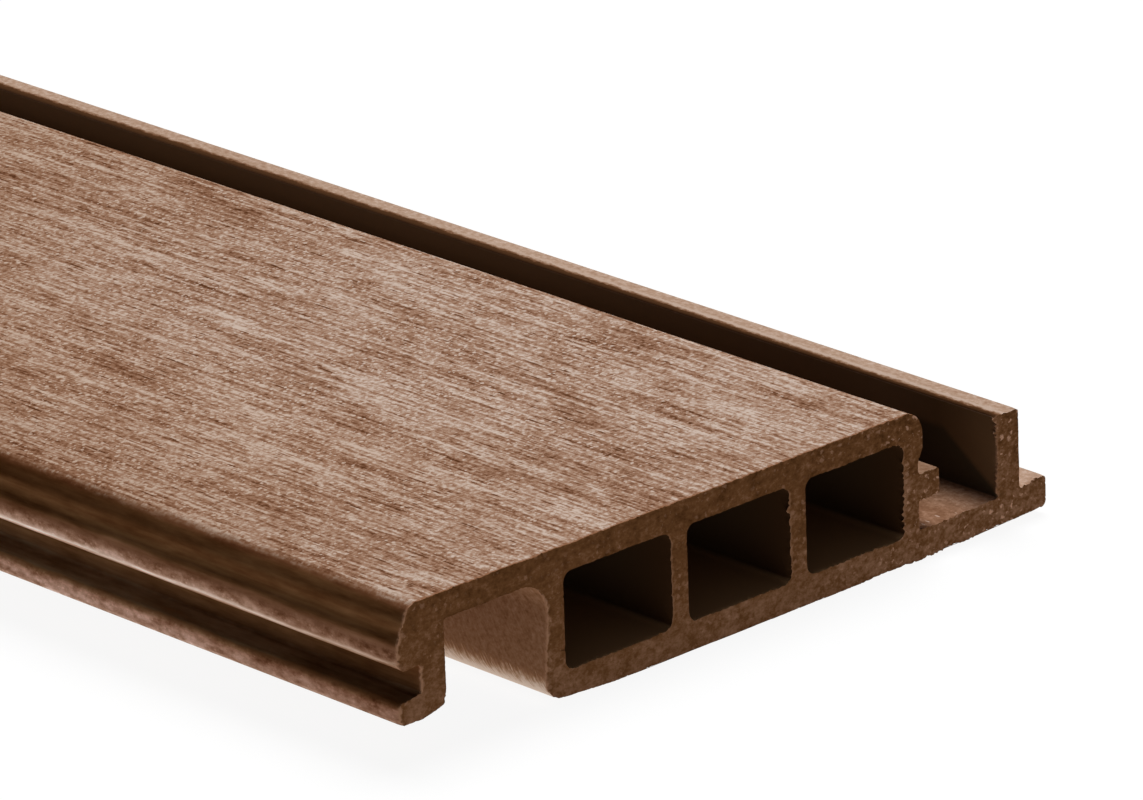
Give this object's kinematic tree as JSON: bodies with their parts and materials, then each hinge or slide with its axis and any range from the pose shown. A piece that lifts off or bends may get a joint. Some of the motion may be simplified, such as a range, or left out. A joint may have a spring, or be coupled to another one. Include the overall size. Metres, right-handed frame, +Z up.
{
  "type": "interlocking composite decking board",
  "caption": "Hollow extruded board with a brushed wear face, a grooved hook on one edge, and a tongue, channel and upstand over a fixing flange on the other.",
  "frame": {"origin": "on the underside, at the middle of the board's length and overall width", "axes": "+X along the board, +Y from the hooked edge towards the fixing flange, +Z up through the wear face"},
  "size_m": [2.2, 0.14, 0.0254],
  "materials": {
    "composite": "matt wood-plastic composite, brushed lengthwise on the wear face, smooth on the extruded sides, sawn on the ends"
  },
  "bodies": {
    "root": {"decking_board": "composite"}
  },
  "joints": []
}
